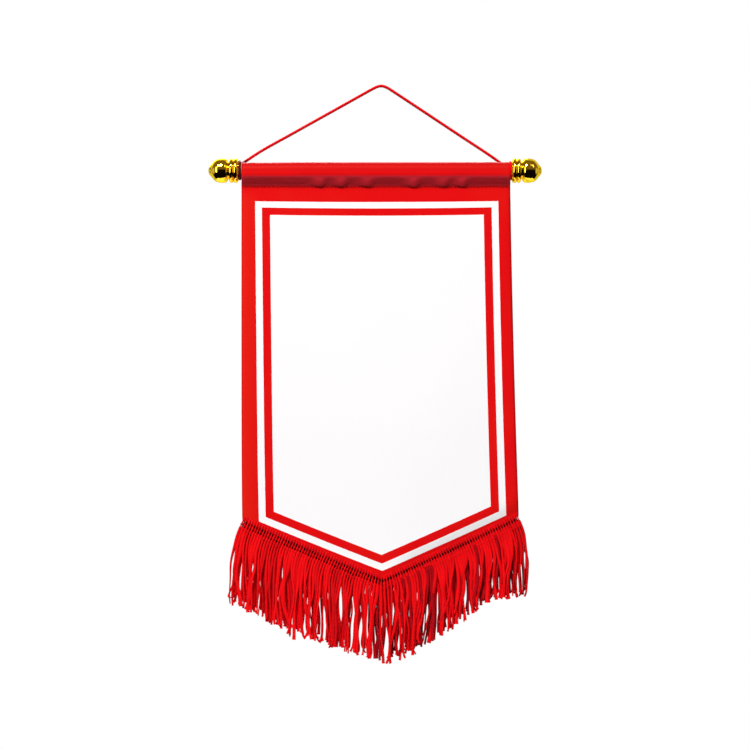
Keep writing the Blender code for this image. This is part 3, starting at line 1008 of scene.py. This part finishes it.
def make_stitches(skin, rng):
    """Lockstitch below the sleeve, front and back: short beads of thread, each sunk at both ends."""
    pitch, length, radius = STITCH_PITCH, STITCH_LENGTH, THREAD_RADIUS
    parts = []
    count = int((CLOTH_WIDTH - 0.004) / pitch)
    for face_side in (1, -1):
        for i in range(count):
            x = (i - (count - 1) / 2 + rng.uniform(-0.08, 0.08)) * pitch
            depth = 0.0003 + rng.uniform(-0.00012, 0.00012)
            out = HALF_BODY + SHEET_THICKNESS / 2 + 0.0001
            if face_side < 0:
                out += 0.0012
            path = []
            for k in range(7):
                share = k / 6
                centre = hang(x + length * (share - 0.5), depth, 0)
                sink = 0.00030 * (2 * share - 1) ** 2
                slant = 0.0004 * (share - 0.5)
                path.append(Vector((centre.x, -face_side * (out - sink), centre.z + slant)))
            ring = circle(radius, 8)
            parts.append(tube(path, lambda k: [(u * (1 - 0.35 * abs(k / 3 - 1)), w) for u, w in ring]))
    points, faces, _ = gather(parts)
    made = mesh_object("seam_stitches", points, faces, skin)
    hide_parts("sleeve_seam_thread")
    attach(made, "banner")


# -------- fringe


def edge_point(x):
    """The cloth's pointed edge at x from the middle, and the way the fringe leaves it there."""
    base = hang(x, cloth_end(x), 0)
    turn = EDGE_ANGLE * math.tanh(x / TIP_ROUNDING)
    return base, Vector((math.sin(turn), 0, -math.cos(turn)))


def edge_places(pitch):
    """x from the middle, evenly along both slanting edges."""
    count = int(CLOTH_WIDTH / math.cos(EDGE_ANGLE) / pitch)
    return [CLOTH_WIDTH * ((i + 0.5) / count - 0.5) for i in range(count)]


def ribbon(path, widths, depths, twists, shade):
    """A soft flat strand. Its broad side faces the viewer where its twist is 0."""

    def section(i):
        c, s = math.cos(twists[i]), math.sin(twists[i])
        ring = []
        for k in range(STRAND_SIDES):
            a = 2 * math.pi * k / STRAND_SIDES
            u, w = widths[i] / 2 * math.cos(a), depths[i] / 2 * math.sin(a)
            ring.append((u * c - w * s, u * s + w * c))
        return ring

    points, faces, places = tube(path, section)
    return points, faces, [(around, along, shade) for around, along, _ in places]


def join_parts(name, parts, skin):
    points, faces, places = gather(parts)
    made = mesh_object(name, points, faces, skin, sharp=70)
    give_vectors(made, "yarn", places)
    return made


def loop_opening(x, d):
    """How open the heading is at d below the cloth: two rows of gaps at the left, one at the right."""
    first = smooth(-0.0004, 0.0006, d) * smooth(0.0046, 0.0034, d)
    second = smooth(0.0042, 0.0052, d) * smooth(0.0100, 0.0080, d)
    return max(first * (1 + 0.25 * smooth(0, 0.02, x)), second * smooth(0.015, -0.025, x))


def make_header(yarn, shaded, rng):
    """The heading: yarn side by side, square to the edge, over a thin near-black tape that paints the shade
    in the gaps between the loops, held by chain stitches.
    """
    tape_points = []
    columns = 120
    for i in range(columns):
        x = (CLOTH_WIDTH - 0.004) * (i / (columns - 1) - 0.5)
        base, away = edge_point(x)
        for j in range(5):
            down = -0.006 + (HEADER + 0.005) * j / 4
            tape_points.append(base + away * down + Vector((0, 0.0002, 0)))
    # painted shade: the near-black tape stands for the shade in the gaps between the loops
    tape = mesh_object("fringe_tape", tape_points, grid_faces(columns, 5), shaded, sharp=75)
    give_vectors(tape, "yarn", [(0.0, 0.0, 0.0)] * len(tape_points))
    thicken(tape, 0.0003)
    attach(tape, "banner")
    loops = []
    for x in edge_places(LOOP_PITCH):
        base, away = edge_point(x)
        gap = 0.48 + 0.20 * noise.noise(Vector((x * 60, 1.7, 0))) + rng.uniform(-0.06, 0.06)
        lean = rng.uniform(-0.03, 0.03)
        for front in (-1, 1):
            path, widths, depths = [], [], []
            for j in range(13):
                share = j / 12
                d = -0.003 + (HEADER + 0.0035) * share
                side_step = lean * d
                y = front * (0.0009 + 0.0002 * math.sin(math.pi * share))
                path.append(base + away * d + Vector((side_step, y, 0)))
                widths.append(LOOP_PITCH * (1.03 - gap * loop_opening(x, d)))
                depths.append(0.0010)
            twist = [rng.uniform(-0.12, 0.12)] * len(path)
            # painted shade: each heading loop gets a lighter or darker shade value
            loops.append(ribbon(path, widths, depths, twist, rng.uniform(0.75, 1.0)))
    made = join_parts("fringe_heading", loops, yarn)
    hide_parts("fringe_header")
    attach(made, "banner")
    chains = []
    for d, size in ((HEADER - 0.0003, 0.00042), (0.0006, 0.00032)):
        for front in (-1, 1):
            path = []
            steps = 420
            for i in range(steps):
                x = (CLOTH_WIDTH - 0.001) * (i / (steps - 1) - 0.5)
                base, away = edge_point(x)
                wobble = 0.00022 * math.sin(2 * math.pi * i / 3.9)
                y = front * (0.0015 + 0.0001 * math.cos(i))
                path.append(base + away * (d + wobble) + Vector((0, y, 0)))
            ring = circle(size, 6)
            chains.append(tube(path, lambda i: [(u * (1 + 0.25 * math.sin(i * 1.61)), w) for u, w in ring]))
    chains = [(p, f, [(a, b, 0.8) for a, b, _ in q]) for p, f, q in chains]
    binding = join_parts("fringe_chain_stitches", chains, yarn)
    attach(binding, "banner")


def hill(x, centre, width, height):
    return height * math.exp(-(((x - centre) / width) ** 2))


def fringe_length(x):
    """How long the strands hang at x from the middle: the fringe was never cut quite even."""
    return FRINGE_LENGTH + hill(x, LONG_AT, LONG_WIDTH, LONG_BY) - hill(x, SHORT_AT, SHORT_WIDTH, SHORT_BY)


def strand(x, layer, group, rng, length):
    """One strand from the header to its cut end. Strands of one group draw together and sway together."""
    base, away = edge_point(x)
    start_turn = math.atan2(away.x, -away.z)
    out = abs(x) / (CLOTH_WIDTH / 2)
    bend_length = BEND_LENGTH + (BEND_LEFT if x < 0 else BEND_RIGHT) * out
    flare = (FLARE_LEFT if x < 0 else FLARE_RIGHT) * out * start_turn
    steps = STRAND_RINGS
    step = length / (steps - 1)
    place = base + away * (HEADER - ROOT_IN_HEADER) + Vector((0, layer * LAYER_STEP, 0))
    path, widths, depths, twists = [], [], [], []
    phase = rng.uniform(0, 6.28)
    wave = rng.uniform(0.02, 0.16)
    waves = rng.uniform(0.9, 2.3)
    lean = rng.gauss(0, 0.055 + 0.04 * smooth(0.02, 0.05, x))
    lean = min(lean, 0.10 * (1 - out)) if x > 0 else max(lean, -0.06 * (1 - out))
    lean -= rng.choice((0, 1)) * hill(x, 0.050, 0.035, 0.13)
    curl = rng.choice((0, 0, 0, 1, -1)) * rng.uniform(0.2, 0.7)
    roll = rng.uniform(-0.6, 0.6)
    roll_turns = rng.uniform(-1.5, 1.5)
    width = STRAND_WIDTH * rng.uniform(0.75, 1.10) * group["thick"]
    gather = (group["middle"] - x) * group["pull"]
    from_depth = layer * rng.uniform(0.0002, 0.0014) + rng.uniform(-0.0004, 0.0004)
    for i in range(steps):
        t = i / (steps - 1)
        bend = start_turn * math.exp(-((t * length / bend_length) ** 1.3))
        drawn = gather * (smooth(0.06, 0.55, t) - smooth(0.06, 0.55, t - 1 / steps)) / step
        own = wave * math.cos(2 * math.pi * waves * t + phase) * smooth(0.08, 0.3, t)
        shared = group["sway"] * math.cos(2 * math.pi * group["waves"] * t + group["phase"])
        shared *= smooth(0.1, 0.45, t)
        hook = curl * smooth(0.86, 1.0, t)
        heading = bend + (flare + own + shared + lean) * smooth(0.0, 0.2, t) + hook
        direction = Vector((math.tan(heading) + drawn, 0, -1)).normalized()
        y = from_depth * smooth(0.0, 0.6, t) + 0.0006 * math.sin(5 * t + phase) * smooth(0.1, 0.4, t)
        path.append(place + Vector((0, y, 0)))
        place = place + direction * step
        root = 0.82 + 0.03 * smooth(0.05, 0.35, t)
        blunt = 1 + 0.12 * smooth(0.94, 1.0, t)
        widths.append(width * root * (1 + 0.10 * math.sin(9 * t + phase)) * blunt)
        depths.append(STRAND_DEPTH * (1 + 0.12 * math.sin(7 * t + phase)))
        twists.append((roll + roll_turns * t) * smooth(0.12, 0.5, t))
    return path, widths, depths, twists


def frayed_end(path, width, rng, shade):
    """Loose filaments past the cut end."""
    end, before = path[-1], path[-3]
    along = (end - before).normalized()
    parts = []
    for _ in range(rng.choice((0, 0, 0, 0, 1))):
        offset = rng.uniform(-0.35, 0.35) * width
        lean = rng.uniform(-0.4, 0.4)
        length = rng.uniform(0.0006, 0.0014)
        tip = []
        for j in range(4):
            d = length * j / 3 - 0.0012
            tip.append(end + along * d + Vector((offset + lean * max(0.0, d), 0, 0)))
        size = rng.uniform(0.0008, 0.0014)
        wide = [size, size, size * 0.9, size * 0.5]
        parts.append(ribbon(tip, wide, [0.0007, 0.0007, 0.0006, 0.0004], [0] * 4, shade))
    return parts


def stray_strand(shade):
    """The one thin yarn that stands away from the fringe at its left end."""
    base, away = edge_point(-CLOTH_WIDTH / 2 + 0.004)
    root = base + away * HEADER
    route = [
        root,
        root + Vector((-0.0030, -0.0006, -0.0120)),
        root + Vector((-0.0042, -0.0012, -0.0280)),
        root + Vector((-0.0065, -0.0014, -0.0420)),
        root + Vector((-0.0115, -0.0014, -0.0560)),
        root + Vector((-0.0135, -0.0012, -0.0615)),
        root + Vector((-0.0105, -0.0010, -0.0622)),
        root + Vector((-0.0060, -0.0008, -0.0560)),
    ]
    path = smooth_route(route, 0.002)
    count = len(path)
    return ribbon(path, [0.0016] * count, [0.0009] * count, [0.3] * count, shade)


def make_strands(yarn, rng):
    """Loose strands in twelve bundles, one piece for each CAD bundle, whose part it hides, bending from the
    header.
    """
    bundles = sorted(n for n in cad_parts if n.startswith("fringe_strands_"))
    count = len(bundles)
    half = CLOTH_WIDTH / 2
    for number, node in enumerate(bundles):
        low = -half + CLOTH_WIDTH * number / count
        high = low + CLOTH_WIDTH / count
        parts = [stray_strand(0.95)] if number == 0 else []
        for layer, spread, shift, darkest, lightest in STRAND_LAYERS:
            pitch = LOOP_PITCH * spread
            xs = [x + shift * pitch for x in edge_places(pitch)]
            xs = [x for x in xs if low <= x < high and abs(x) < half - 0.0008]
            start = 0
            while start < len(xs):
                size = rng.choice((2, 3, 3, 4, 5))
                members = xs[start : start + size]
                start += size
                group = {
                    "middle": sum(members) / len(members) + rng.uniform(-0.0015, 0.0015),
                    "pull": rng.uniform(0.1, 0.45) + hill(members[0], -0.012, 0.05, 0.45),
                    "sway": rng.uniform(0.0, 0.13),
                    "waves": rng.uniform(0.7, 1.3),
                    "phase": rng.uniform(0, 6.28),
                    "cut": rng.gauss(0, 0.022),
                    "thick": rng.uniform(0.85, 1.15),
                }
                for x in members:
                    uneven = 1 + group["cut"] + rng.gauss(0, 0.012) - 0.03 * max(0, layer)
                    path, widths, depths, twists = strand(x, layer, group, rng, fringe_length(x) * uneven)
                    # painted shade: deeper layers, the right end and a few random strands are darker; the
                    # left end is lighter, where the light falls
                    shade = rng.uniform(darkest, lightest)
                    shade *= 1 - rng.uniform(0, 0.6) * smooth(0.112, 0.124, x)
                    shade *= rng.choice((1, 1, 1, 1, 1, 0.35))
                    shade = shade + (1 - shade) * 0.65 * smooth(0.01, -0.05, x)
                    parts.append(ribbon(path, widths, depths, twists, shade))
                    parts += frayed_end(path, widths[-1], rng, shade)
        piece = join_parts(f"fringe_yarns_{number + 1:02d}", parts, yarn)
        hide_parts(node)
        middle = (low + high) / 2
        base, _ = edge_point(middle)
        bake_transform(piece)


# -------- the whole pennant


def main():
    make_camera()
    cord_skin = make_cord_material("twisted_cord", (0.86, 0.0020, 0.006), (0.60, 0.0010, 0.005), end_shade=0.9)
    # painted shade: the left knot gets a dark copy of the cord's material, the right knot the lit one
    shaded_knot_skin = make_cord_material("wound_cord_painted_shade", (0.17, 0.002, 0.007), (0.06, 0.001, 0.004))
    cord, centreline, cord_length = make_cord(cord_skin)
    left_knot = make_knot("cord_knot_left", "left_cord_knot", math.radians(49), shaded_knot_skin)
    right_knot = make_knot("cord_knot_right", "right_cord_knot", math.radians(20), cord_skin)
    gold = make_gold()
    make_finial("finial_left_plated", "left_finial", -1, gold)
    make_finial("finial_right_plated", "right_finial", 1, gold)
    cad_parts["dowel"].data.materials.clear()
    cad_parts["dowel"].data.materials.append(make_wood())

    satin = make_red_satin()
    front, sleeve_length = make_front(make_printed_satin())
    back = make_panel("cloth_back", "back_cloth", satin, 1, BACK_TOP, 0.0)
    felt = make_interlining()
    lining = make_panel("interlining", "stiffener", felt, 0, LINING_TOP, LINING_INSET)
    rng = random.Random(11)
    make_stitches(make_thread(), rng)

    yarn = make_yarn("fringe_yarn", YARN_RED, SHADED_YARN_RED)
    # painted shade: near-black yarn for the tape behind the heading
    shaded = make_yarn("fringe_tape_painted_shade", (0.022, 0.001, 0.002), (0.012, 0.001, 0.002))
    make_header(yarn, shaded, rng)
    make_strands(yarn, rng)
    make_light()
    make_floor()
    bpy.context.view_layer.update()


main()
